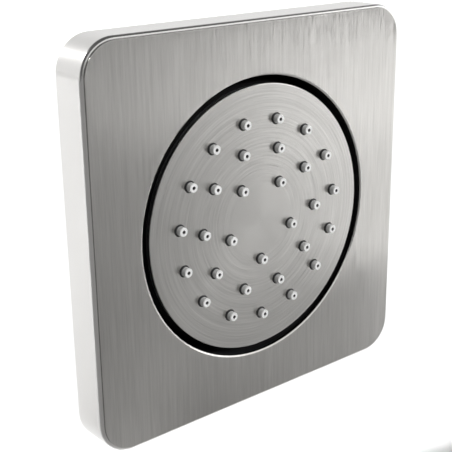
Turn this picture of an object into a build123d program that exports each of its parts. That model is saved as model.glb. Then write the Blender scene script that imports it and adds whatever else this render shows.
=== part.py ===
from build123d import *
import os
from math import acos, asin, cos, degrees, radians, sin, sqrt

# Square shower body jet. Depth runs along Y: the wall is at 0, the front faces -Y,
# and the cup and the pipe inlet stand behind the wall at +Y. Z is up.

# Cover frame: a square shell with rounded corners and a rounded shoulder
cover_side = 124.0
cover_depth = 13.0
cover_corner = 11.0
cover_shoulder = 0.95
cover_wall = 1.4

# Face plate: a thin sheet let into the front of the frame, standing a little proud of it
plate_sheet = 0.8
plate_step = 0.5
plate_ledge = 0.15
plate_play = 0.05
plate_edge = 0.12
plate_lap = 0.8
window_bevel = 0.5
window_bevel_depth = 0.25

# Nozzles, in three rings
outer_nozzle_count = 15
outer_nozzle_ring = 31.8
middle_nozzle_count = 10
middle_nozzle_ring = 22.9
inner_nozzle_count = 5
inner_nozzle_ring = 13.2
nozzle_reach = 2.15
nozzle_root_radius = 1.44
nozzle_tip_radius = 1.42
nozzle_tip_edge = 0.15
orifice_radius = 0.55
mat_sheet = 1.2

# Spray face: a thin round sheet with bevelled nozzle holes
face_setback = 0.2
face_sheet = 0.6
face_edge = 0.3
face_overhang = 0.65
face_gap = 2.55
nozzle_hole_play = 0.08
nozzle_hole_edge = 0.12

# Face carrier: moulded plate behind the sheet, with a sleeve round each nozzle and screw bosses
carrier_sheet = 1.6
carrier_setback = 0.25
sleeve_play = 0.06
sleeve_wall = 0.2
sleeve_rise = 0.35
boss_count = 4
boss_radius = 2.0
boss_play = 0.3
pilot_radius = 1.1
pilot_depth = 4.5

# Head shell: chamber behind the mat, round skirt about the ball's centre, hub on the stem
chamber_margin = 1.06
chamber_wall = 1.4
chamber_depth = 4.2
shell_floor = 1.8
skirt_wall = 1.5
skirt_tail = 1.0
hub_wall = 3.0
hub_step = 0.7
hub_rise = 1.5

# Head screws
screw_play = 0.2
screw_shank_play = 0.05
screw_head_radius = 2.3
screw_head_height = 1.5
screw_drive_radius = 1.0
screw_drive_depth = 0.8

# Ball joint: the stem tilts this far each way about X and about Z
tilt_limit = 8.0
swing_play = 0.8
ball_radius = 7.0
waterway_radius = 2.0
neck_radius = 4.2
neck_length = 7.0
collar_radius = 7.0
collar_height = 0.9
journal_radius = 5.5
journal_play = 0.06
end_play = 0.1
stem_nose = 0.5

# Liner between the ball and the socket, as angles from the axis
liner_start = 52.0
liner_stop = 76.0
liner_wall = 1.5
liner_play = 0.08

# Stem clip and stem seal
clip_thickness = 0.8
clip_width = 2.2
clip_depth = 0.7
clip_mouth = 60.0
seal_groove_depth = 1.1
seal_groove_width = 1.6
seal_play = 0.05

# Ball nut
nut_ball_play = 0.1
nut_stop_margin = 2.0
nut_lip = 0.9
nut_wall = 2.2
nut_skirt = 3.0
nut_shoulder = 1.0
thread_play = 0.05

# Mounting base
base_play = 0.3
base_flange = 3.0
base_rim_wall = 1.6
base_rim_gap = 2.1
window_step = 0.4
cup_wall = 2.0
cup_floor = 2.2
wall_screw_inset = 14.3
wall_screw_radius = 2.5
wall_screw_boss_wall = 2.5
wall_screw_boss_height = 3.0
rib_thickness = 1.6
rib_offset = 18.0
rear_rib_count = 8
rear_rib_height = 2.0
gasket_inset = 2.0
gasket_width = 5.0
gasket_thickness = 1.0
gasket_play = 0.2

# Grub screws under the cover
grub_offset = 30.0
grub_radius = 2.0
grub_play = 0.05
grub_length = 5.5
grub_sink = 0.1
grub_key = 1.0
grub_key_depth = 2.0
grub_boss_width = 9.0
grub_boss_height = 4.0

# Inlet body
barrel_wall = 1.8
barrel_play = 0.3
lock_nut_height = 4.5
lock_nut_wall = 4.5
inlet_washer_thickness = 1.5
inlet_flange_width = 7.5
inlet_flange = 3.5
inlet_thread_radius = 9.5
inlet_thread_length = 15.0
inlet_hex_wall = 4.0
inlet_chamfer = 1.0
passage_radius = 3.4
passage_length = 2.0

# Strainer and flow regulator
screen_radius = 8.6
screen_seat = 1.6
screen_sheet = 0.6
screen_rim = 1.0
screen_hole_radius = 1.5
screen_hole_ring = 4.6
screen_hole_count = 6
regulator_radius = 7.1
regulator_height = 4.0
regulator_hole_radius = 0.9
regulator_hole_ring = 3.6
regulator_hole_count = 6
regulator_groove = 1.2
regulator_groove_width = 1.6
insert_play = 0.1

# Ball seal
ball_seal_inner = 3.3
ball_seal_outer = 4.7
ball_seal_gap = 0.18
ball_seal_depth = 1.6

# Depths of the cover, and of the spray head from the front back to the ball's centre
cover_front = -cover_depth
frame_front = cover_front + plate_step
frame_back = frame_front + cover_wall
plate_back = cover_front + plate_sheet
face_front = cover_front + face_setback
face_back = face_front + face_sheet
carrier_back = face_back + carrier_sheet
mat_back = carrier_back + mat_sheet
chamber_back = mat_back + chamber_depth
shell_back = chamber_back + shell_floor
hub_back = shell_back + hub_step
hub_front = chamber_back - hub_rise
collar_front = hub_back + end_play
collar_back = collar_front + collar_height
pivot = collar_back + neck_length
nozzle_tip = face_front - nozzle_reach
sleeve_front = face_front - sleeve_rise

# Radii of the spray head, from the outer nozzles out to the window
chamber_radius = outer_nozzle_ring + nozzle_root_radius + chamber_margin
chamber_outer = chamber_radius + chamber_wall
boss_ring = chamber_outer + boss_play + boss_radius
skirt_ahead = pivot - carrier_back
skirt_inner = sqrt((boss_ring + boss_radius + boss_play) ** 2 + skirt_ahead**2)
skirt_outer = skirt_inner + skirt_wall
face_radius = sqrt(skirt_outer**2 - skirt_ahead**2) + face_overhang
carrier_radius = face_radius - carrier_setback
window_radius = face_radius + face_gap
sleeve_bore = nozzle_root_radius + sleeve_play
sleeve_radius = sleeve_bore + sleeve_wall
nozzle_hole_radius = sleeve_radius + nozzle_hole_play
hub_bore = journal_radius + journal_play
hub_radius = hub_bore + hub_wall

# Room for the head to swing, with both tilts at their limits
swing = acos(cos(radians(tilt_limit)) ** 2)
edge_ahead = pivot - face_front - face_edge
face_reach = face_radius * cos(swing) + edge_ahead * sin(swing)
skirt_back = pivot - skirt_tail
cup_bore = max(window_radius + window_step, face_reach + swing_play)
cup_outer = cup_bore + cup_wall
cup_front = pivot + skirt_outer * sin(swing) - skirt_tail * cos(swing) + swing_play
cup_back = cup_front + cup_floor

# Socket, barrel and inlet behind the ball
liner_inner = ball_radius + liner_play
liner_outer = liner_inner + liner_wall
pocket_radius = liner_outer + liner_play
barrel_radius = pocket_radius + barrel_wall
liner_edge = radians(liner_start - tilt_limit) - liner_play
pocket_back = pivot + pocket_radius * cos(liner_edge)
seal_back = pocket_back + ball_seal_depth
passage_back = seal_back + passage_length
flange_front = cup_back + inlet_washer_thickness
flange_back = flange_front + inlet_flange
regulator_back = passage_back + regulator_height
screen_back = regulator_back + screen_seat
inlet_back = screen_back + inlet_thread_length
flange_radius = barrel_radius + inlet_flange_width
seal_seat_radius = ball_seal_outer + insert_play
regulator_bore = regulator_radius + insert_play
screen_bore = screen_radius + insert_play

# Plate and base in plan, and the base's rim
plate_inset = cover_shoulder + plate_ledge
plate_side = cover_side - 2 * plate_inset
plate_corner = cover_corner - plate_inset
base_side = cover_side - 2 * (cover_wall + base_play)
base_corner = cover_corner - cover_wall - base_play
base_rim_height = -frame_back - base_rim_gap
grub_depth = (base_rim_height + base_flange) / 2
wall_screw_spacing = base_side - 2 * wall_screw_inset
gasket_side = base_side - 2 * gasket_inset
gasket_corner = base_corner - gasket_inset


def slab(outline, back, front):
    """Flat piece with an outline drawn in X and Z, from its back depth to its front depth."""
    return extrude(Plane.XZ.offset(-back) * outline, back - front)


def rod(radius, back, front, x=0.0, z=0.0):
    """Round bar along the depth axis."""
    return slab(Pos(x, z) * Circle(radius), back, front)


def turned(*corners, rounded=()):
    """Body turned about the depth axis from (radius, depth) corners, some of them rounded."""
    section = make_face(Polyline(*corners, close=True))
    for corner, radius in rounded:
        section = fillet(section.vertices().sort_by_distance(Vector(*corner))[0], radius)
    return revolve(section, Axis.Y)


def ring(outer, inner, back, front):
    """Ring of rectangular section about the depth axis."""
    return turned((inner, front), (outer, front), (outer, back), (inner, back))


def ball(radius):
    """Ball about the joint's centre."""
    return Pos(0, pivot, 0) * Rot(-90, 0, 0) * Sphere(radius)


def hexagon(across_flats):
    """Six-sided outline."""
    return RegularPolygon(across_flats / 2, 6, major_radius=False)


def plan(side, corner):
    """Square outline with round corners."""
    return RectangleRounded(side, side, corner)


def spread(count, radius, start=0.0):
    """Places at even steps round the depth axis, as (x, z)."""
    angles = [radians(start + 360.0 * i / count) for i in range(count)]
    return [(radius * cos(angle), radius * sin(angle)) for angle in angles]


def nozzle_places():
    """Centres of all the nozzles: the outer and the inner ring start below the centre."""
    outer = spread(outer_nozzle_count, outer_nozzle_ring, -90.0)
    middle = spread(middle_nozzle_count, middle_nozzle_ring)
    inner = spread(inner_nozzle_count, inner_nozzle_ring, -90.0)
    return outer + middle + inner


def boss_places():
    """Centres of the head screws."""
    return spread(boss_count, boss_ring, 180.0 / boss_count)


def copies(piece, places):
    """The same piece at several places across the face."""
    return [Pos(x, 0, z) * piece for x, z in places]


def make_cover_frame():
    """Square shell: rounded shoulder, open at the back, a shallow seat for the plate in front."""
    shell = slab(plan(cover_side, cover_corner), 0, frame_front)
    shell = fillet(shell.faces().sort_by(Axis.Y)[0].edges(), cover_shoulder)
    inner_side = cover_side - 2 * cover_wall
    shell -= slab(plan(inner_side, cover_corner - cover_wall), cover_depth, frame_back)
    seat = plan(plate_side + 2 * plate_play, plate_corner + plate_play)
    shell -= slab(seat, plate_back, 2 * frame_front)
    shell -= rod(window_radius + plate_lap, 0, 2 * frame_front)
    return shell - grub_holes()


def make_face_plate():
    """Brushed sheet with a softened outer edge and a shallow bevel round its window."""
    plate = slab(plan(plate_side, plate_corner), plate_back, cover_front)
    plate = fillet(plate.faces().sort_by(Axis.Y)[0].edges(), plate_edge)
    plate -= rod(window_radius, plate_back, cover_front)
    bevel_back = cover_front + window_bevel_depth
    return plate - turned(
        (0, cover_front),
        (window_radius + window_bevel, cover_front),
        (window_radius, bevel_back),
        (0, bevel_back),
    )


def make_nozzle_mat():
    """Soft mat with a hollow nozzle for each hole of the face."""
    mat = rod(chamber_outer, mat_back, carrier_back)
    root = (carrier_back + mat_back) / 2
    nozzle = turned(
        (0, root),
        (nozzle_root_radius, root),
        (nozzle_root_radius, face_back),
        (nozzle_tip_radius, nozzle_tip + nozzle_tip_edge),
        (nozzle_tip_radius - nozzle_tip_edge, nozzle_tip),
        (0, nozzle_tip),
    )
    mat += copies(nozzle, nozzle_places())
    return mat - copies(rod(orifice_radius, mat_back, nozzle_tip), nozzle_places())


def make_spray_face():
    """Thin disc with a softened rim and bevelled nozzle holes."""
    disc = turned(
        (0, face_front),
        (face_radius, face_front),
        (face_radius, face_back),
        (0, face_back),
        rounded=[((face_radius, face_front), face_edge)],
    )
    mouth = nozzle_hole_radius + nozzle_hole_edge
    hole = turned(
        (0, face_front),
        (mouth, face_front),
        (nozzle_hole_radius, face_front + nozzle_hole_edge),
        (nozzle_hole_radius, face_back),
        (0, face_back),
    )
    return disc - copies(hole, nozzle_places())


def make_face_carrier():
    """Moulded plate that backs the sheet, with a sleeve round each nozzle and bosses for the screws."""
    carrier = rod(carrier_radius, carrier_back, face_back)
    boss = rod(boss_radius, chamber_back, carrier_back)
    pilot = rod(pilot_radius, chamber_back, chamber_back - pilot_depth)
    sleeve = rod(sleeve_radius, carrier_back, sleeve_front)
    bore = rod(sleeve_bore, carrier_back, sleeve_front)
    carrier += copies(boss, boss_places()) + copies(sleeve, nozzle_places())
    carrier -= copies(bore, nozzle_places())
    return carrier - copies(pilot, boss_places())


def make_head_shell():
    """Black back of the head: round skirt, floor, chamber wall and hub."""
    skirt = (ball(skirt_outer) - ball(skirt_inner)) & rod(skirt_outer, skirt_back, carrier_back)
    floor = ball(skirt_inner + skirt_wall / 2) & rod(skirt_outer, shell_back, chamber_back)
    wall = ring(chamber_outer, chamber_radius, chamber_back, mat_back)
    shell = skirt + floor + wall + rod(hub_radius, hub_back, hub_front)
    shell -= rod(hub_bore, hub_back, hub_front)
    hole = rod(pilot_radius + screw_play, shell_back, chamber_back)
    return shell - copies(hole, boss_places())


def make_head_screws():
    """Pan head screws from behind the shell into the face's bosses."""
    head_back = shell_back + screw_head_height
    screw = rod(pilot_radius - screw_shank_play, shell_back, chamber_back - pilot_depth + screw_play)
    screw += rod(screw_head_radius, head_back, shell_back)
    screw -= slab(hexagon(2 * screw_drive_radius), head_back, head_back - screw_drive_depth)
    return copies(screw, boss_places())


def make_ball_stem():
    """Hollow ball, neck, thrust collar and journal, with grooves for the seal and the clip."""
    clip_front = hub_front - end_play - clip_thickness
    stem_front = clip_front - stem_nose
    stem = ball(ball_radius) + rod(neck_radius, pivot, collar_front)
    stem += rod(collar_radius, collar_back, collar_front)
    stem += rod(journal_radius, collar_front, stem_front)
    groove_middle = (hub_back + hub_front) / 2
    groove_inner = journal_radius - seal_groove_depth
    groove_half = seal_groove_width / 2
    stem -= ring(hub_radius, groove_inner, groove_middle + groove_half, groove_middle - groove_half)
    stem -= ring(hub_radius, journal_radius - clip_depth, clip_front + clip_thickness, clip_front)
    return stem - rod(waterway_radius, pivot + ball_radius, stem_front)


def make_stem_seal():
    """Rubber ring in the stem's groove."""
    middle = (hub_back + hub_front) / 2
    half = seal_groove_width / 2 - seal_play
    inner = journal_radius - seal_groove_depth + seal_play
    return ring(journal_radius, inner, middle + half, middle - half)


def make_stem_clip():
    """Open spring ring in the stem's front groove."""
    back = hub_front - end_play - seal_play
    front = back - clip_thickness + 2 * seal_play
    inner = journal_radius - clip_depth + seal_play
    outer = inner + clip_width
    half_mouth = outer * sin(radians(clip_mouth / 2))
    mouth = slab(Pos(0, -outer) * Rectangle(2 * half_mouth, 2 * outer), back, front)
    return ring(outer, inner, back, front) - mouth


def make_ball_seat():
    """Liner with a round inside and outside, both about the ball's centre."""

    def at(radius, angle):
        return (radius * sin(radians(angle)), pivot + radius * cos(radians(angle)))

    middle = (liner_start + liner_stop) / 2
    section = make_face(
        ThreePointArc(at(liner_outer, liner_start), at(liner_outer, middle), at(liner_outer, liner_stop))
        + Line(at(liner_outer, liner_stop), at(liner_inner, liner_stop))
        + ThreePointArc(at(liner_inner, liner_stop), at(liner_inner, middle), at(liner_inner, liner_start))
        + Line(at(liner_inner, liner_start), at(liner_outer, liner_start))
    )
    return revolve(section, Axis.Y)


def make_ball_nut():
    """Nut with a coned nose and a round pocket that keeps the ball in."""
    pocket = ball_radius + nut_ball_play
    lip_angle = asin(neck_radius / pocket) + swing + radians(nut_stop_margin)
    mouth = pocket * sin(lip_angle)
    nose = pivot - pocket * cos(lip_angle) - nut_lip
    across = 2 * (barrel_radius + nut_wall)
    shoulder = pivot - nut_shoulder
    nut = slab(hexagon(across), pivot + nut_skirt, shoulder)
    nut += turned((0, nose), (mouth + nut_lip, nose), (across / 2, shoulder), (0, shoulder))
    nut -= ball(pocket) & rod(pocket, pivot, nose)
    nut -= turned((0, nose), (mouth + nut_lip / 2, nose), (mouth, nose + nut_lip), (0, nose + nut_lip))
    return nut - rod(barrel_radius + thread_play, pivot + nut_skirt, pivot)


def make_ball_seal():
    """Rubber ring with a coned seat that follows the ball."""

    def on_ball(radius):
        return pivot + sqrt(ball_radius**2 - radius**2) + ball_seal_gap

    return turned(
        (ball_seal_inner, on_ball(ball_seal_inner)),
        (ball_seal_outer, on_ball(ball_seal_outer)),
        (ball_seal_outer, seal_back),
        (ball_seal_inner, seal_back),
    )


def make_inlet_body():
    """Brass body: barrel with the ball socket, flange, hexagon and pipe thread bore."""
    across = 2 * (inlet_thread_radius + inlet_hex_wall)
    corner = across / 2 / cos(radians(30))
    body = rod(barrel_radius, flange_front, pivot) + rod(flange_radius, flange_back, flange_front)
    hexagon_bar = slab(hexagon(across), inlet_back, flange_back)
    hexagon_bar &= turned(
        (0, flange_back),
        (corner, flange_back),
        (corner, inlet_back - inlet_chamfer),
        (corner - inlet_chamfer, inlet_back),
        (0, inlet_back),
    )
    body += hexagon_bar
    body -= ball(pocket_radius) & rod(pocket_radius, pocket_back, pivot)
    body -= rod(seal_seat_radius, seal_back, pivot)
    body -= rod(passage_radius, passage_back, pivot)
    body -= rod(regulator_bore, regulator_back, passage_back)
    body -= rod(screen_bore, screen_back, regulator_back)
    return body - rod(inlet_thread_radius, inlet_back, screen_back)


def make_inlet_washer():
    """Flat rubber ring between the inlet's flange and the cup."""
    return ring(flange_radius, barrel_radius + barrel_play, flange_front, cup_back)


def make_lock_nut():
    """Thin hexagon nut inside the cup."""
    nut = slab(hexagon(2 * (barrel_radius + lock_nut_wall)), cup_front, cup_front - lock_nut_height)
    return nut - rod(barrel_radius + thread_play, cup_front, cup_front - lock_nut_height)


def make_inlet_screen():
    """Strainer disc with a raised rim."""
    screen = rod(screen_radius, screen_back, regulator_back)
    screen -= rod(screen_radius - screen_rim, screen_back, regulator_back + screen_sheet)
    hole = rod(screen_hole_radius, screen_back, regulator_back)
    return screen - copies(hole, [(0, 0)] + spread(screen_hole_count, screen_hole_ring))


def make_flow_regulator():
    """Grooved disc with a circle of small holes."""
    middle = (regulator_back + passage_back) / 2
    half = regulator_groove_width / 2
    disc = rod(regulator_radius, regulator_back, passage_back)
    disc -= ring(regulator_bore, regulator_radius - regulator_groove, middle + half, middle - half)
    hole = rod(regulator_hole_radius, regulator_back, passage_back)
    return disc - copies(hole, spread(regulator_hole_count, regulator_hole_ring))


def make_regulator_ring():
    """Rubber ring in the regulator's groove."""
    middle = (regulator_back + passage_back) / 2
    half = regulator_groove_width / 2 - seal_play
    inner = regulator_radius - regulator_groove + seal_play
    return ring(regulator_bore - seal_play, inner, middle + half, middle - half)


def make_mounting_base():
    """Moulded base: flange and rim inside the cover, cup behind, bosses and ribs."""
    inner_side = base_side - 2 * base_rim_wall
    inner = plan(inner_side, base_corner - base_rim_wall)
    base = slab(plan(base_side, base_corner), 0, -base_rim_height)
    base -= slab(inner, -base_flange, -base_rim_height)
    base += rod(cup_outer, cup_back, frame_back)
    boss_front = -base_flange - wall_screw_boss_height
    boss = rod(wall_screw_radius + wall_screw_boss_wall, -base_flange, boss_front)
    half = wall_screw_spacing / 2
    corners = [(x, z) for x in (-half, half) for z in (-half, half)]
    base += copies(boss, corners)
    base += front_ribs(inner_side / 2) + rear_ribs() + grub_bosses(inner_side / 2)
    base -= rod(cup_bore, cup_front, frame_back)
    base -= rod(barrel_radius + barrel_play, cup_back + rear_rib_height, cup_front)
    base -= copies(rod(wall_screw_radius, 0, -base_rim_height), corners)
    base -= slab(gasket_outline(0), 0, -gasket_thickness)
    return base - grub_holes()


def front_ribs(reach):
    """Straight ribs from the cup to the rim, two on each side of the square."""
    start = sqrt(cup_outer**2 - rib_offset**2) - cup_wall / 2
    middle = (start + reach) / 2
    height = base_rim_height - base_flange
    rib = Box(reach - start, height, rib_thickness)
    depth = -(base_rim_height + base_flange) / 2
    pair = [Pos(middle, depth, z) * rib for z in (-rib_offset, rib_offset)]
    return [Rot(0, turn, 0) * rib for turn in (0, 90, 180, 270) for rib in pair]


def rear_ribs():
    """Ribs on the back of the cup's floor, clear of the inlet's flange."""
    start = flange_radius + rib_thickness
    length = cup_outer - rib_thickness - start
    rib = Box(length, rear_rib_height, rib_thickness)
    rib = Pos(start + length / 2, cup_back + rear_rib_height / 2, 0) * rib
    return [Rot(0, 360.0 * i / rear_rib_count, 0) * rib for i in range(rear_rib_count)]


def grub_bosses(reach):
    """Blocks inside the lower rim for the grub screws."""
    height = base_rim_height - base_flange
    block = Box(grub_boss_width, height, grub_boss_height)
    depth = -(base_rim_height + base_flange) / 2
    level = -reach + grub_boss_height / 2
    return [Pos(x, depth, level) * block for x in (-grub_offset, grub_offset)]


def grub_holes():
    """Holes for the grub screws, up through the cover's lower wall and the base's rim."""
    length = grub_length + grub_boss_height
    hole = Cylinder(grub_radius + grub_play, length, align=(Align.CENTER, Align.CENTER, Align.MIN))
    level = -cover_side / 2 - grub_sink
    return [Pos(x, -grub_depth, level) * hole for x in (-grub_offset, grub_offset)]


def make_grub_screws():
    """Two hex socket set screws."""
    upright = (Align.CENTER, Align.CENTER, Align.MIN)
    screw = Cylinder(grub_radius, grub_length, align=upright)
    screw -= extrude(hexagon(2 * grub_key), grub_key_depth)
    level = -cover_side / 2 + grub_sink
    return [Pos(x, -grub_depth, level) * screw for x in (-grub_offset, grub_offset)]


def gasket_outline(play):
    """Square ring outline, smaller by the play on both edges."""
    outer_side = gasket_side - 2 * play
    inner_side = gasket_side - 2 * gasket_width + 2 * play
    outer = plan(outer_side, gasket_corner - play)
    return outer - plan(inner_side, gasket_corner - play)


def make_wall_gasket():
    """Foam ring in the recess in the base's back."""
    return slab(gasket_outline(gasket_play), 0, -gasket_thickness)


pieces = {
    "cover_frame": make_cover_frame(),
    "face_plate": make_face_plate(),
    "mounting_base": make_mounting_base(),
    "wall_gasket": make_wall_gasket(),
    "grub_screws": make_grub_screws(),
    "inlet_body": make_inlet_body(),
    "inlet_washer": make_inlet_washer(),
    "lock_nut": make_lock_nut(),
    "inlet_screen": make_inlet_screen(),
    "flow_regulator": make_flow_regulator(),
    "regulator_ring": make_regulator_ring(),
    "ball_seal": make_ball_seal(),
    "ball_nut": make_ball_nut(),
    "ball_seat": make_ball_seat(),
    "ball_stem": make_ball_stem(),
    "stem_seal": make_stem_seal(),
    "stem_clip": make_stem_clip(),
    "head_shell": make_head_shell(),
    "nozzle_mat": make_nozzle_mat(),
    "spray_face": make_spray_face(),
    "face_carrier": make_face_carrier(),
    "head_screws": make_head_screws(),
}

os.makedirs("parts", exist_ok=True)
for node, piece in pieces.items():
    shape = Compound(children=piece) if isinstance(piece, list) else piece
    export_step(shape, f"parts/{node}.step")

print(f"ball centre {pivot:.2f} mm behind the wall plane, swing {degrees(swing):.2f} degrees")
print(f"window radius {window_radius:.2f}, face radius {face_radius:.2f}")
print(f"skirt radius {skirt_outer:.2f}, plate side {plate_side:.2f}")
print(f"cup bore {cup_bore:.2f}, face reach {face_reach:.2f}, cup back {cup_back:.2f}")
print(f"wall screw spacing {wall_screw_spacing:.2f}")
print(f"inlet thread from {screen_back:.2f} to {inlet_back:.2f}")
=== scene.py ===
# %% [markdown]
# # A square shower body jet
# The object is a wall fitting: a shallow square frame, a brushed plate let into its front, and in the
# plate's round window a flat spray head that swivels on a ball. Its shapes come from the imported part.
# This script gives every piece its finish, adds the small forms that are too fine for the solids, and
# sets the object in a plain studio, seen from the photograph's side.

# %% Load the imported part
import math

import bmesh
import bpy
from mathutils import Matrix, Vector


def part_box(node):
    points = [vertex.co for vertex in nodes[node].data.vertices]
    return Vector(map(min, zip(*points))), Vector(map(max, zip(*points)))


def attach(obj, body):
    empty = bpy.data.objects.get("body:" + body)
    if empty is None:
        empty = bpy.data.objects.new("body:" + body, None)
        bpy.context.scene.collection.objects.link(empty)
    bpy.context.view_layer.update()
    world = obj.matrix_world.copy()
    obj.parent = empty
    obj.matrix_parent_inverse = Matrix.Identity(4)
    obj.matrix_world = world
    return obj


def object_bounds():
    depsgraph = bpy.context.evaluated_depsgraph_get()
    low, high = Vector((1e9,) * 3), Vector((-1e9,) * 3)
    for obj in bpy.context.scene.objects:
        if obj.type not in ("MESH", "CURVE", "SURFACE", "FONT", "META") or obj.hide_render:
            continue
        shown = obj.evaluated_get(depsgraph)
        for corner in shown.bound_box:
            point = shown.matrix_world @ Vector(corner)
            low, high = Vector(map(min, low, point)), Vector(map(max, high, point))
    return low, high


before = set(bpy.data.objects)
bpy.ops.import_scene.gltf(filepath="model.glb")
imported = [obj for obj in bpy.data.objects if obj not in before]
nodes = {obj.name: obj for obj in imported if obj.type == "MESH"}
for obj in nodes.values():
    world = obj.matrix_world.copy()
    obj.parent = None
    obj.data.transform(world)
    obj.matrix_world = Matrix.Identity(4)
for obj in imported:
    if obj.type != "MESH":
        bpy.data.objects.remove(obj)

scene = bpy.context.scene
cad_box = [list(corner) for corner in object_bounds()]
print("pieces", len(nodes), "box in mm", [[round(1000 * x, 1) for x in corner] for corner in cad_box])

# %% [markdown]
# ## Colour
# Standard shows each colour as it is written. A film look would lift the blacks of the gap and grey the
# white floor, and the finishes below would have to be bent to undo that.

# %% Show colours as written
scene.view_settings.view_transform = "Standard"
print("view", scene.view_settings.view_transform)

# %% [markdown]
# ## Camera
# The photograph looks from the left, a little above, with a short telephoto. The turn, dip and distance
# were found by fitting the frame's corners, the window and the nozzles to the picture. A camera in
# Blender starts out looking down, so it is raised by a right angle less the dip, and then turned.

# %% Set the camera
camera_place = (-0.19543, -0.23363, 0.09738)
turn, dip, roll = (math.radians(angle) for angle in (39.403, 18.675, -0.866))
film_width, focal_length = 36.0, 78.86
camera = bpy.data.objects.new("camera", bpy.data.cameras.new("camera"))
camera.data.sensor_width = film_width
camera.data.lens = focal_length
camera.data.clip_start = 0.01
camera.matrix_world = (
    Matrix.Translation(camera_place)
    @ Matrix.Rotation(-turn, 4, "Z")
    @ Matrix.Rotation(math.pi / 2 - dip, 4, "X")
    @ Matrix.Rotation(roll, 4, "Z")
)
scene.collection.objects.link(camera)
scene.camera = camera
print("camera", [round(x, 3) for x in camera_place], "lens", focal_length, "mm")

# %% [markdown]
# ## Floor
# The fitting belongs on a wall, so it hangs a little above a pale sheet instead of standing on it. One
# large square with a matt finish is enough, because only its tone and the soft shadow on it are seen.

# %% Lay the floor
floor_drop = 0.040
floor_reach = 2.6
floor_tone = 0.86
floor_level = cad_box[0][2] - floor_drop
floor_mesh = bmesh.new()
bmesh.ops.create_grid(floor_mesh, x_segments=4, y_segments=4, size=floor_reach)
floor = bpy.data.objects.new("floor", bpy.data.meshes.new("floor"))
floor_mesh.to_mesh(floor.data)
floor_mesh.free()
floor.location.z = floor_level
scene.collection.objects.link(floor)
pale_sheet = bpy.data.materials.new("pale_sheet")
pale_sheet.use_nodes = True
sheet_shader = pale_sheet.node_tree.nodes["Principled BSDF"]
sheet_shader.inputs["Base Color"].default_value = (floor_tone, floor_tone, floor_tone, 1)
sheet_shader.inputs["Roughness"].default_value = 0.8
sheet_shader.inputs["Specular IOR Level"].default_value = 0.1
floor.data.materials.append(pale_sheet)
print("floor at", round(1000 * floor_level, 2), "mm")


# %% [markdown]
# ## Node trees
# The sky and the finishes are made of nodes. Setting down a node, a soft change from one value to another
# and a chain of sums come up again and again, so each gets a small helper.


# %% Helpers for node trees
def put(tree, kind, values=(), **settings):
    """New node with settings, and with values for its inputs by name or number."""
    node = tree.nodes.new(kind)
    for name, value in settings.items():
        setattr(node, name, value)
    for socket, value in dict(values).items():
        node.inputs[socket].default_value = value
    return node


def soft_step(tree, source, start, stop, low=0.0, high=1.0):
    """Value that goes softly from low to high while the source goes from start to stop."""
    limits = {"From Min": start, "From Max": stop, "To Min": low, "To Max": high}
    step = put(tree, "ShaderNodeMapRange", limits, interpolation_type="SMOOTHSTEP")
    tree.links.new(source, step.inputs["Value"])
    return step.outputs[0]


def combine(tree, operation, first, *others):
    """All the values added together or multiplied, one after the other."""
    result = first
    for other in others:
        step = put(tree, "ShaderNodeMath", operation=operation)
        tree.links.new(result, step.inputs[0])
        tree.links.new(other, step.inputs[1])
        result = step.outputs[0]
    return result


# %% [markdown]
# ## Light
# Brushed metal shows its surroundings as soft bands, so the studio is built for what the plate sees.
# The plate looks down to the right, at the floor in front of it, and the left of that floor has to stay
# fairly dark. The sky is pale behind the object, and dim in front of it and overhead. To the front right
# stands one low bright band, as from a long soft box: it draws the white line along the lower edge of the
# window and the thin line along the frame's top shoulder. A panel lamp could stand there instead, but a
# lamp so near takes most of the render's light samples and leaves the nozzles patchy. Each edge below says
# where a soft change starts and stops along one direction, from -1 straight against it to 1 straight
# along it.

# %% Make the sky
front_level, back_level = 0.10, 0.95
behind_edge = (-0.2, 0.25)
overhead_edge = (0.85, 0.5)
band_heading = (0.62, -0.785, 0.0)
band_dim, band_bright = 0.9, 2.2
band_side_edge = (0.60, 0.78)
band_foot_edge = (-0.02, 0.03)
band_head_edge = (0.52, 0.40)
band_bright_edge = (0.55, 0.92)

sky = bpy.data.worlds.new("studio")
scene.world = sky
sky.use_nodes = True
sky_tree = sky.node_tree
sky_way = put(sky_tree, "ShaderNodeTexCoord").outputs["Generated"]
sky_split = put(sky_tree, "ShaderNodeSeparateXYZ")
band_way = put(sky_tree, "ShaderNodeVectorMath", {1: band_heading}, operation="DOT_PRODUCT")
sky_tree.links.new(sky_way, sky_split.inputs[0])
sky_tree.links.new(sky_way, band_way.inputs[0])
sky_x, sky_y, sky_z = sky_split.outputs

behind = soft_step(sky_tree, sky_y, *behind_edge)
low_down = soft_step(sky_tree, sky_z, *overhead_edge)
pale = put(sky_tree, "ShaderNodeMapRange", {"To Min": front_level, "To Max": back_level})
sky_tree.links.new(combine(sky_tree, "MULTIPLY", behind, low_down), pale.inputs["Value"])
band = combine(
    sky_tree,
    "MULTIPLY",
    soft_step(sky_tree, band_way.outputs["Value"], *band_side_edge),
    soft_step(sky_tree, sky_z, *band_foot_edge),
    soft_step(sky_tree, sky_z, *band_head_edge),
    soft_step(sky_tree, sky_x, *band_bright_edge, band_dim, band_bright),
)
sky_light = combine(sky_tree, "ADD", pale.outputs[0], band)
sky_tree.links.new(sky_light, sky_tree.nodes["Background"].inputs["Color"])
print("sky", front_level, "in front,", back_level, "behind, band", band_dim, "to", band_bright)


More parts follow.
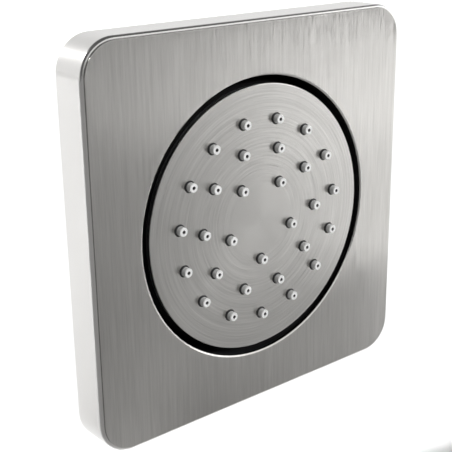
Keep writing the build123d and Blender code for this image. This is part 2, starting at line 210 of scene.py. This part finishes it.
# %% [markdown]
# The lamps are boxed in by narrow grids, so each lights little more than its own patch. The key lamp hangs
# behind the object and shines forward to the right. Its edge is a slanting line that runs under the object
# from the back left to the front right: all the floor behind that line is white, and fills the background,
# the left side and the right part of the plate. It also catches the object's back, left and top. The far
# lamp keeps the floor white up to the picture's top. The floor lamp lights the patch that the plate's upper
# edge looks at, and the near lamp lifts the object's shadow in front. The front lamp is the only one aimed
# at the object's front: it makes the nozzle tips white, and is kept out of mirror images.


# %% Hang the lamps
def soft_lamp(name, place, target, size, power, spread, spin=0.0):
    """Rectangular lamp at a place, facing a target, hidden from the camera itself."""
    light = bpy.data.lights.new(name, "AREA")
    light.shape = "RECTANGLE"
    light.size, light.size_y = size
    light.energy = power
    light.spread = math.radians(spread)
    lamp = bpy.data.objects.new(name, light)
    lamp.visible_camera = False
    aim = (Vector(target) - Vector(place)).to_track_quat("-Z", "Y").to_matrix().to_4x4()
    lamp.matrix_world = Matrix.Translation(place) @ aim @ Matrix.Rotation(math.radians(spin), 4, "Z")
    scene.collection.objects.link(lamp)
    return lamp


def lamp_above(name, place, **settings):
    """Lamp at a place that faces straight down."""
    return soft_lamp(name, place, (place[0], place[1], floor_level), **settings)


soft_lamp(
    "key_lamp", (0.146, 1.152, 0.62), target=(0.833, 0.528, -0.10),
    size=(1.98, 1.59), power=15.0, spread=8.0,
)
front_lamp = soft_lamp(
    "front_lamp", (0.03, -0.45, 0.26), target=(0.0, -0.013, 0.02),
    size=(0.14, 0.14), power=0.036, spread=12.0,
)
front_lamp.visible_glossy = False
lamp_above("far_lamp", (-1.0, 2.4, 0.6), size=(4.5, 3.0), power=30.0, spread=60.0)
lamp_above("floor_lamp", (0.785, -0.82, 0.5), size=(1.2, 0.30), power=0.65, spread=30.0, spin=-45.3)
lamp_above("near_lamp", (0.11, -0.09, 0.4), size=(0.12, 0.08), power=0.0045, spread=11.0)


# %% [markdown]
# ## Effects that several finishes share
# An effect that more than one finish uses is a node group: it is built once, with named inputs, and put
# into each finish with that finish's own values.


# %% Helper for groups
def start_group(name, inputs, outputs):
    """Empty node group with its sockets, and its input and output nodes."""
    group = bpy.data.node_groups.new(name, "ShaderNodeTree")
    for label, kind, value in inputs:
        socket = group.interface.new_socket(label, in_out="INPUT", socket_type=kind)
        socket.default_value = value
    for label in outputs:
        group.interface.new_socket(label, in_out="OUTPUT", socket_type="NodeSocketFloat")
    return group, group.nodes.new("NodeGroupInput"), group.nodes.new("NodeGroupOutput")


# %% [markdown]
# ### Brushed lines
# Brushing is one idea used three ways: straight on the plate, round on the disc, and turned on the brass.
# The group takes a place whose X runs across the lines and whose Y and Z run along them, in millimetres,
# so the same noise, squeezed hard along the lines, draws all three. Broad and fine lines together give the
# tone, the fine ones the height, and a third noise says how far each line leans. Where a brush turns about
# a middle its lines crowd and fade, so they come in softly up to the place called Calm.

# %% Brushed lines
broad_lines = {"across": 1.0, "squeeze": 1.0, "detail": 3.0}
fine_lines = {"across": 3.4, "squeeze": 2.2, "detail": 3.0}
leaning_lines = {"across": 2.0, "squeeze": 3.5, "detail": 2.0}
line_roughness = 0.6
calm_width = 12.0
no_calm = -1000.0
middle_tone = 0.5

brush_lines, brush_in, brush_out = start_group(
    "brush_lines",
    [
        ("Place", "NodeSocketVector", (0, 0, 0)),
        ("Length", "NodeSocketFloat", 40.0),
        ("Calm", "NodeSocketFloat", no_calm),
    ],
    ["Tone", "Height", "Tilt"],
)
per_length = put(brush_lines, "ShaderNodeMath", {0: 1.0}, operation="DIVIDE")
brush_lines.links.new(brush_in.outputs["Length"], per_length.inputs[1])


def line_noise(across, squeeze, detail):
    """Noise with so many lines per millimetre, squeezed along them, from the group's place."""
    stretch = put(brush_lines, "ShaderNodeMath", {1: squeeze}, operation="MULTIPLY")
    scale = put(brush_lines, "ShaderNodeCombineXYZ", {"X": across})
    shrink = put(brush_lines, "ShaderNodeVectorMath", operation="MULTIPLY")
    noise_values = {"Scale": 1.0, "Detail": detail, "Roughness": line_roughness}
    noise = put(brush_lines, "ShaderNodeTexNoise", noise_values)
    brush_lines.links.new(per_length.outputs[0], stretch.inputs[0])
    brush_lines.links.new(stretch.outputs[0], scale.inputs["Y"])
    brush_lines.links.new(stretch.outputs[0], scale.inputs["Z"])
    brush_lines.links.new(brush_in.outputs["Place"], shrink.inputs[0])
    brush_lines.links.new(scale.outputs[0], shrink.inputs[1])
    brush_lines.links.new(shrink.outputs[0], noise.inputs["Vector"])
    return noise.outputs[0]


broad_noise, fine_noise, lean_noise = (
    line_noise(**lines) for lines in (broad_lines, fine_lines, leaning_lines)
)

# %% Let the lines fade and put them out
brush_fade = put(brush_lines, "ShaderNodeMapRange", interpolation_type="SMOOTHSTEP")
brush_start = put(brush_lines, "ShaderNodeMath", {1: calm_width}, operation="SUBTRACT")
brush_across = put(brush_lines, "ShaderNodeSeparateXYZ")
brush_lines.links.new(brush_in.outputs["Place"], brush_across.inputs[0])
brush_lines.links.new(brush_in.outputs["Calm"], brush_start.inputs[0])
brush_lines.links.new(brush_across.outputs["X"], brush_fade.inputs["Value"])
brush_lines.links.new(brush_start.outputs[0], brush_fade.inputs["From Min"])
brush_lines.links.new(brush_in.outputs["Calm"], brush_fade.inputs["From Max"])

brush_blend = put(brush_lines, "ShaderNodeMix", {"Factor": 0.5}, data_type="FLOAT")
brush_tone = put(brush_lines, "ShaderNodeMix", {"A": middle_tone}, data_type="FLOAT")
brush_lines.links.new(broad_noise, brush_blend.inputs["A"])
brush_lines.links.new(fine_noise, brush_blend.inputs["B"])
brush_lines.links.new(brush_fade.outputs[0], brush_tone.inputs["Factor"])
brush_lines.links.new(brush_blend.outputs["Result"], brush_tone.inputs["B"])

brush_lean = put(brush_lines, "ShaderNodeMath", {1: middle_tone}, operation="SUBTRACT")
brush_lines.links.new(lean_noise, brush_lean.inputs[0])
brush_tilt = combine(brush_lines, "MULTIPLY", brush_lean.outputs[0], brush_fade.outputs[0])
brush_lines.links.new(brush_tone.outputs["Result"], brush_out.inputs["Tone"])
brush_lines.links.new(fine_noise, brush_out.inputs["Height"])
brush_lines.links.new(brush_tilt, brush_out.inputs["Tilt"])
print("brush_lines puts out", [socket.name for socket in brush_out.inputs if socket.name])

# %% [markdown]
# ### Moulded grain
# Moulded and rubber pieces have a fine even grain instead. A second group makes it from noise at two
# sizes: the small one is the grain and the large one a slow change of tone, as in any moulding.

# %% Moulded grain
slow_scale = 0.06
mould_grain, grain_in, grain_out = start_group(
    "mould_grain",
    [("Place", "NodeSocketVector", (0, 0, 0)), ("Size", "NodeSocketFloat", 0.4)],
    ["Tone", "Height"],
)
grain_scale = put(mould_grain, "ShaderNodeMath", {0: 1.0}, operation="DIVIDE")
grain_fine = put(mould_grain, "ShaderNodeTexNoise", {"Detail": 2.0, "Roughness": 0.5})
grain_slow = put(mould_grain, "ShaderNodeTexNoise", {"Scale": slow_scale, "Detail": 2.0})
mould_grain.links.new(grain_in.outputs["Size"], grain_scale.inputs[1])
mould_grain.links.new(grain_scale.outputs[0], grain_fine.inputs["Scale"])
mould_grain.links.new(grain_in.outputs["Place"], grain_fine.inputs["Vector"])
mould_grain.links.new(grain_in.outputs["Place"], grain_slow.inputs["Vector"])
mould_grain.links.new(grain_slow.outputs[0], grain_out.inputs["Tone"])
mould_grain.links.new(grain_fine.outputs[0], grain_out.inputs["Height"])
print("groups", [group.name for group in bpy.data.node_groups])


# %% [markdown]
# ## Finishes
# Each finish is a node material on the main shader. A helper starts it and another lays an effect on it:
# the effect's tone picks between two colours and two roughnesses, and its height is a bump of at most a
# few hundredths of a millimetre, or more in foam. Values that are the same all over are set on the shader
# itself.


# %% Helpers for finishes
tone_range = {"From Min": 0.3, "From Max": 0.7}


def start_finish(name, **values):
    """New node material with plain values on the main shader."""
    material = bpy.data.materials.new(name)
    material.use_nodes = True
    shader = material.node_tree.nodes["Principled BSDF"]
    for socket, value in values.items():
        shader.inputs[socket.replace("_", " ")].default_value = value
    return material


def in_millimetres(tree):
    """The piece's own coordinates, in millimetres."""
    place = put(tree, "ShaderNodeTexCoord")
    scale = put(tree, "ShaderNodeVectorMath", {"Scale": 1000.0}, operation="SCALE")
    tree.links.new(place.outputs["Object"], scale.inputs[0])
    return scale.outputs[0]


def lay_effect(material, group, place, values, colours, roughness, bump):
    """Effect group on a material: two colours, two roughnesses and a bump height in millimetres."""
    tree = material.node_tree
    shader = tree.nodes["Principled BSDF"]
    effect = put(tree, "ShaderNodeGroup", node_tree=group)
    for socket, value in values.items():
        effect.inputs[socket].default_value = value
    tree.links.new(place, effect.inputs["Place"])
    spread = put(tree, "ShaderNodeMapRange", tone_range)
    tree.links.new(effect.outputs["Tone"], spread.inputs["Value"])
    mix = put(tree, "ShaderNodeMix", data_type="RGBA")
    mix.inputs["A"].default_value = (*colours[0], 1)
    mix.inputs["B"].default_value = (*colours[1], 1)
    tree.links.new(spread.outputs["Result"], mix.inputs["Factor"])
    tree.links.new(mix.outputs["Result"], shader.inputs["Base Color"])
    rough = put(tree, "ShaderNodeMapRange", {"To Min": roughness[0], "To Max": roughness[1]})
    tree.links.new(spread.outputs["Result"], rough.inputs["Value"])
    tree.links.new(rough.outputs["Result"], shader.inputs["Roughness"])
    relief = put(tree, "ShaderNodeBump", {"Strength": 1.0, "Distance": bump / 1000.0})
    tree.links.new(effect.outputs["Height"], relief.inputs["Height"])
    tree.links.new(relief.outputs["Normal"], shader.inputs["Normal"])
    return effect, relief


def lean_lines(material, effect, relief, line_way, slope):
    """Lean each line a little along its own length, so that reflections break up into streaks."""
    tree = material.node_tree
    surface = put(tree, "ShaderNodeNewGeometry")
    amount = put(tree, "ShaderNodeMath", {1: slope}, operation="MULTIPLY")
    lean = put(tree, "ShaderNodeVectorMath", operation="SCALE")
    leaning = put(tree, "ShaderNodeVectorMath", operation="ADD")
    unit = put(tree, "ShaderNodeVectorMath", operation="NORMALIZE")
    tree.links.new(effect.outputs["Tilt"], amount.inputs[0])
    if isinstance(line_way, tuple):
        lean.inputs[0].default_value = line_way
    else:
        tree.links.new(line_way, lean.inputs[0])
    tree.links.new(amount.outputs[0], lean.inputs["Scale"])
    tree.links.new(surface.outputs["Normal"], leaning.inputs[0])
    tree.links.new(lean.outputs[0], leaning.inputs[1])
    tree.links.new(leaning.outputs[0], unit.inputs[0])
    tree.links.new(unit.outputs[0], relief.inputs["Normal"])


# %% [markdown]
# ### Straight brushing
# The plate was drawn past a belt, so its lines run up and down, a few centimetres long. Their tone alone
# would look painted. What makes the plate look brushed is that light spreads sideways, across the lines:
# the shader's anisotropy, with the tangent laid level on whatever face it meets. Lines that lean a little
# break the edge of a reflection into streaks. The frame is the same metal with a much finer satin.


# %% Plate and frame
upright = (0.0, 0.0, 1.0)
nearly_upright = (0.02, 0.0, 1.0)


def straight_place(tree):
    """Place for lines that run up and down: X across them."""
    split = put(tree, "ShaderNodeSeparateXYZ")
    join = put(tree, "ShaderNodeCombineXYZ")
    tree.links.new(in_millimetres(tree), split.inputs[0])
    across = combine(tree, "ADD", split.outputs["X"], split.outputs["Y"])
    tree.links.new(across, join.inputs["X"])
    tree.links.new(split.outputs["Z"], join.inputs["Y"])
    return join.outputs[0]


def level_tangent(material):
    """Tangent that stays level, so that highlights spread sideways."""
    tree = material.node_tree
    surface = put(tree, "ShaderNodeNewGeometry")
    level = put(tree, "ShaderNodeVectorMath", {1: nearly_upright}, operation="CROSS_PRODUCT")
    tree.links.new(surface.outputs["Normal"], level.inputs[0])
    tree.links.new(level.outputs[0], tree.nodes["Principled BSDF"].inputs["Tangent"])


brushed_plate = start_finish("brushed_plate", Metallic=1.0, Anisotropic=0.85)
plate_effect, plate_relief = lay_effect(
    brushed_plate, brush_lines, straight_place(brushed_plate.node_tree), {"Length": 34.0},
    colours=((0.54, 0.528, 0.508), (0.71, 0.696, 0.672)), roughness=(0.22, 0.18), bump=0.003,
)
lean_lines(brushed_plate, plate_effect, plate_relief, upright, slope=0.18)
level_tangent(brushed_plate)

satin_frame = start_finish("satin_frame", Metallic=1.0, Anisotropic=0.4)
lay_effect(
    satin_frame, brush_lines, straight_place(satin_frame.node_tree), {"Length": 60.0},
    colours=((0.75, 0.74, 0.725), (0.78, 0.77, 0.755)), roughness=(0.27, 0.24), bump=0.0003,
)
level_tangent(satin_frame)
print("straight brushing on", brushed_plate.name, "and", satin_frame.name)


# %% [markdown]
# ### Round brushing
# The disc was brushed while it spun, so its lines are rings. The place for the lines is the distance from
# the axis, with the direction round the axis as the other two numbers, which has no seam. Blender's radial
# tangent runs round the axis, and a quarter turn makes it point outwards, across the lines.


# %% Disc
quarter_turn = 0.25


def round_place(tree, reach, fineness=1.0):
    """Place for lines round the depth axis: X is the radius plus the depth, times a fineness."""
    split = put(tree, "ShaderNodeSeparateXYZ")
    flat = put(tree, "ShaderNodeCombineXYZ")
    radius = put(tree, "ShaderNodeVectorMath", operation="LENGTH")
    way = put(tree, "ShaderNodeVectorMath", operation="NORMALIZE")
    far = put(tree, "ShaderNodeVectorMath", {"Scale": reach}, operation="SCALE")
    turn_split = put(tree, "ShaderNodeSeparateXYZ")
    finer = put(tree, "ShaderNodeMath", {1: fineness}, operation="MULTIPLY")
    join = put(tree, "ShaderNodeCombineXYZ")
    tree.links.new(in_millimetres(tree), split.inputs[0])
    tree.links.new(split.outputs["X"], flat.inputs["X"])
    tree.links.new(split.outputs["Z"], flat.inputs["Z"])
    tree.links.new(flat.outputs[0], radius.inputs[0])
    tree.links.new(flat.outputs[0], way.inputs[0])
    tree.links.new(way.outputs[0], far.inputs[0])
    tree.links.new(far.outputs[0], turn_split.inputs[0])
    across = combine(tree, "ADD", radius.outputs["Value"], split.outputs["Y"])
    tree.links.new(across, finer.inputs[0])
    tree.links.new(finer.outputs[0], join.inputs["X"])
    tree.links.new(turn_split.outputs["X"], join.inputs["Y"])
    tree.links.new(turn_split.outputs["Z"], join.inputs["Z"])
    return join.outputs[0]


def round_tangent(material):
    """Tangent across the rings, for highlights that spread outwards."""
    tree = material.node_tree
    shader = tree.nodes["Principled BSDF"]
    tangent = put(tree, "ShaderNodeTangent", direction_type="RADIAL", axis="Y")
    tree.links.new(tangent.outputs[0], shader.inputs["Tangent"])
    shader.inputs["Anisotropic Rotation"].default_value = quarter_turn
    return tangent.outputs[0]


brushed_disc = start_finish("brushed_disc", Metallic=1.0, Anisotropic=0.6)
disc_place = round_place(brushed_disc.node_tree, reach=28.0, fineness=1.7)
disc_effect, disc_relief = lay_effect(
    brushed_disc, brush_lines, disc_place, {"Length": 30.0, "Calm": 4.0},
    colours=((0.51, 0.500, 0.482), (0.77, 0.757, 0.732)), roughness=(0.28, 0.23), bump=0.003,
)
disc_tangent = round_tangent(brushed_disc)
lean_lines(brushed_disc, disc_effect, disc_relief, disc_tangent, slope=0.12)
print("round brushing on", brushed_disc.name)

# %% [markdown]
# ### Turned metal
# The inlet and its nuts are turned from brass bar, and the screws, clip and strainer are plain steel: the
# same rings, coarser and less even. The ball is plated and polished, so its rings hardly show.

# %% Brass, steel and the plated ball
machined_brass = start_finish("machined_brass", Metallic=1.0, Anisotropic=0.4)
lay_effect(
    machined_brass, brush_lines, round_place(machined_brass.node_tree, reach=12.0), {"Length": 40.0},
    colours=((0.58, 0.40, 0.16), (0.76, 0.57, 0.27)), roughness=(0.34, 0.22), bump=0.01,
)
round_tangent(machined_brass)

plain_steel = start_finish("plain_steel", Metallic=1.0, Anisotropic=0.3)
lay_effect(
    plain_steel, brush_lines, round_place(plain_steel.node_tree, reach=6.0), {"Length": 20.0},
    colours=((0.50, 0.50, 0.49), (0.64, 0.64, 0.63)), roughness=(0.36, 0.24), bump=0.005,
)
round_tangent(plain_steel)

plated_ball = start_finish("plated_ball", Metallic=1.0)
lay_effect(
    plated_ball, brush_lines, round_place(plated_ball.node_tree, reach=6.0), {"Length": 30.0},
    colours=((0.78, 0.78, 0.78), (0.84, 0.84, 0.84)), roughness=(0.10, 0.06), bump=0.001,
)
print("turned metal on", machined_brass.name, plain_steel.name, plated_ball.name)


# %% [markdown]
# ### Hard mouldings
# The head's back is a glossy black moulding, and the base is the same plastic with a spark-eroded grain.
# The carrier behind the spray face is dark grey, and only its sleeves show, as the dark ring round each
# nozzle. The flow disc and the ball's liner are a pale slippery plastic. They differ in grain, tone and
# gloss alone, so one helper makes them all.


# %% Mouldings
def moulded(name, grain, colours, roughness, bump, **values):
    """Finish with a moulded grain of a size in millimetres."""
    material = start_finish(name, **values)
    place = in_millimetres(material.node_tree)
    lay_effect(material, mould_grain, place, {"Size": grain}, colours, roughness, bump)
    print("moulded", name)
    return material


gloss_black = moulded(
    "gloss_black", grain=1.2, colours=((0.008, 0.008, 0.008), (0.014, 0.014, 0.014)),
    roughness=(0.12, 0.22), bump=0.002,
)
black_moulding = moulded(
    "black_moulding", grain=0.35, colours=((0.020, 0.020, 0.021), (0.034, 0.034, 0.035)),
    roughness=(0.38, 0.52), bump=0.03,
)
grey_moulding = moulded(
    "grey_moulding", grain=0.35, colours=((0.050, 0.050, 0.050), (0.070, 0.070, 0.070)),
    roughness=(0.30, 0.40), bump=0.005,
)
pale_plastic = moulded(
    "pale_plastic", grain=0.3, colours=((0.74, 0.74, 0.71), (0.82, 0.82, 0.79)),
    roughness=(0.30, 0.42), bump=0.01,
)

# %% [markdown]
# ### Rubber and foam
# Seals are matt rubber. The wall gasket is an open foam, whose cells are just a much larger grain.

# %% Rubber and foam
matt_rubber = moulded(
    "matt_rubber", grain=0.2, colours=((0.015, 0.015, 0.015), (0.030, 0.030, 0.030)),
    roughness=(0.55, 0.75), bump=0.01,
)
gasket_foam = moulded(
    "gasket_foam", grain=0.5, colours=((0.035, 0.035, 0.036), (0.075, 0.075, 0.076)),
    roughness=(0.85, 0.95), bump=0.15,
)

# %% [markdown]
# ### Silicone
# The nozzles are one soft silicone mat, pale and satin. Silicone lets light in a little way, so the nozzles
# have a shallow glow. Their bores and other closed-in places get painted shade, nearly black. Ambient
# occlusion tells how closed in a place is, and a dark colour is painted there, which saves drawing thirty
# little masks.

# %% Silicone with painted shade in its bores
bore_reach = 0.0012
bore_shade_range = {"From Min": 0.40, "From Max": 0.75}
bore_shade_colour = (0.12, 0.12, 0.12, 1)
soft_silicone = moulded(
    "soft_silicone", grain=0.25, colours=((0.80, 0.80, 0.79), (0.86, 0.86, 0.85)),
    roughness=(0.50, 0.60), bump=0.001,
    Subsurface_Weight=0.35, Subsurface_Scale=0.0005, Subsurface_Radius=(1, 1, 1),
)
silicone_tree = soft_silicone.node_tree
silicone_shader = silicone_tree.nodes["Principled BSDF"]
silicone_colour = silicone_shader.inputs["Base Color"].links[0].from_socket
# Painted shade: where ambient occlusion finds the silicone closed in, its colour is mixed towards a dark
# grey.
closed_in = put(silicone_tree, "ShaderNodeAmbientOcclusion", {"Distance": bore_reach}, samples=8)
openness = put(silicone_tree, "ShaderNodeMapRange", bore_shade_range)
bore_shade_mix = put(silicone_tree, "ShaderNodeMix", data_type="RGBA")
bore_shade_mix.inputs["A"].default_value = bore_shade_colour
silicone_tree.links.new(closed_in.outputs["AO"], openness.inputs["Value"])
silicone_tree.links.new(openness.outputs["Result"], bore_shade_mix.inputs["Factor"])
silicone_tree.links.new(silicone_colour, bore_shade_mix.inputs["B"])
silicone_tree.links.new(bore_shade_mix.outputs["Result"], silicone_shader.inputs["Base Color"])

# %% [markdown]
# ## Give each piece its finish
# A solid from the part keeps its mesh and only gets a material. On the four pieces seen in front, the
# large faces also lead the shading of the narrow rounded edges beside them, so that flat stays flat.

# %% Finish the pieces
finishes = {
    "cover_frame": satin_frame,
    "face_plate": brushed_plate,
    "mounting_base": black_moulding,
    "wall_gasket": gasket_foam,
    "grub_screws": plain_steel,
    "inlet_body": machined_brass,
    "inlet_washer": matt_rubber,
    "lock_nut": machined_brass,
    "inlet_screen": plain_steel,
    "flow_regulator": pale_plastic,
    "regulator_ring": matt_rubber,
    "ball_seal": matt_rubber,
    "ball_nut": machined_brass,
    "ball_seat": pale_plastic,
    "ball_stem": plated_ball,
    "stem_seal": matt_rubber,
    "stem_clip": plain_steel,
    "head_shell": gloss_black,
    "nozzle_mat": soft_silicone,
    "spray_face": brushed_disc,
    "face_carrier": grey_moulding,
    "head_screws": plain_steel,
}
for name, finish in finishes.items():
    nodes[name].data.materials.clear()
    nodes[name].data.materials.append(finish)
for name in ("cover_frame", "face_plate", "spray_face", "nozzle_mat"):
    even_shading = nodes[name].modifiers.new("even_shading", "WEIGHTED_NORMAL")
    even_shading.keep_sharp = True
    even_shading.weight = 100
print("finished", len(finishes), "of", len(nodes))


# %% [markdown]
# ## Added pieces
# Two fine forms are left out of the solids: the thread in the inlet and the mesh of the strainer. Both are
# a small section drawn along a line, so they share a helper that skins over a row of rings, and another
# that makes the mesh a piece of the fixed body.


# %% Helpers for added pieces
def join_rings(mesh, rings):
    """Skin over a row of rings with as many points each, closed at both ends."""
    rows = [[mesh.verts.new(point) for point in ring] for ring in rings]
    for last, row in zip(rows, rows[1:]):
        for i in range(len(row)):
            mesh.faces.new((last[i - 1], last[i], row[i], row[i - 1]))
    mesh.faces.new(rows[0])
    mesh.faces.new(reversed(rows[-1]))


def new_piece(name, mesh, body, finish):
    """Object from a mesh under construction, riding on a body, with its finish."""
    bmesh.ops.recalc_face_normals(mesh, faces=mesh.faces)
    piece = bpy.data.objects.new(name, bpy.data.meshes.new(name))
    mesh.to_mesh(piece.data)
    mesh.free()
    piece.data.materials.append(finish)
    scene.collection.objects.link(piece)
    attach(piece, body)
    print(name, len(piece.data.polygons), "faces")


# %% [markdown]
# ### The pipe thread
# The wall's pipe is screwed into the back of the brass inlet. A thread is one trapezoid drawn along a
# helix: a ring of four points is placed at every step, a little further round and a little further along,
# and each ring is joined to the last one. At both ends the ridge sinks into the bore, as a cut thread
# runs out.

# %% Cut the inlet thread
bore_radius = 0.0095
thread_pitch = 0.001814
thread_depth = 0.00078
thread_foot, thread_crest = 0.0014, 0.0002
thread_sink = 0.00003
thread_margin = 0.0010
run_out_turns = 0.5
run_out_rest = 0.05
steps_per_turn = 72
thread_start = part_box("inlet_screen")[1][1] + thread_margin
thread_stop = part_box("inlet_body")[1][1] - thread_margin


def thread_ring(turns, along, depth):
    """Four points of the thread's section at a number of turns round the bore."""
    angle = 2 * math.pi * turns
    foot, crest = thread_foot / 2, thread_crest / 2
    ring = []
    for side, rise in ((-foot, 0.0), (-crest, depth), (crest, depth), (foot, 0.0)):
        radius = bore_radius + thread_sink - rise
        ring.append((radius * math.cos(angle), along + side, radius * math.sin(angle)))
    return ring


thread_steps = round((thread_stop - thread_start) / thread_pitch * steps_per_turn)
thread_rings = []
for step in range(thread_steps + 1):
    turns = step / steps_per_turn
    nearest_end = min(turns, thread_steps / steps_per_turn - turns)
    depth = thread_depth * min(1.0, nearest_end / run_out_turns + run_out_rest)
    thread_rings.append(thread_ring(turns, thread_start + turns * thread_pitch, depth))
thread_mesh = bmesh.new()
join_rings(thread_mesh, thread_rings)
new_piece("inlet_thread", thread_mesh, "fixed_base", machined_brass)

# %% [markdown]
# ### The strainer's mesh
# Behind the holes of the strainer lies a fine woven mesh that holds back grit. Each wire is a thin tube
# on a wavy line. The wires of one direction go up where the others go down, so that they pass over and
# under each other as in real wire cloth.

# %% Weave the strainer's mesh
wire_radius = 0.00011
wire_pitch = 0.0008
wire_play = 0.00002
wire_sides = 6
steps_per_wave = 8
weave_radius = 0.0074
screen_rim = 0.0010
weave_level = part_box("inlet_screen")[1][1] - screen_rim + 2 * wire_radius + wire_play


def wire_rings(offset, row, up):
    """Rings along a wire at an offset from the middle, as (along, rise, across) round its wavy line."""
    half = math.sqrt(weave_radius**2 - offset**2)
    steps = round(2 * half / wire_pitch * steps_per_wave)
    rings = []
    for step in range(steps + 1):
        along = -half + 2 * half * step / steps
        wave = up * wire_radius * math.cos(math.pi * (along / wire_pitch + row))
        ring = []
        for side in range(wire_sides):
            angle = 2 * math.pi * side / wire_sides
            rise = wave + wire_radius * math.sin(angle)
            ring.append((along, rise, offset + wire_radius * math.cos(angle)))
        rings.append(ring)
    return rings


weave_mesh = bmesh.new()
last_row = int((weave_radius - wire_pitch / 2) / wire_pitch)
for row in range(-last_row, last_row + 1):
    level_wire = wire_rings(row * wire_pitch, row, up=1.0)
    upright_wire = wire_rings(row * wire_pitch, row, up=-1.0)
    join_rings(weave_mesh, [[(a, weave_level + r, c) for a, r, c in ring] for ring in level_wire])
    join_rings(weave_mesh, [[(c, weave_level + r, a) for a, r, c in ring] for ring in upright_wire])
new_piece("strainer_mesh", weave_mesh, "fixed_base", plain_steel)
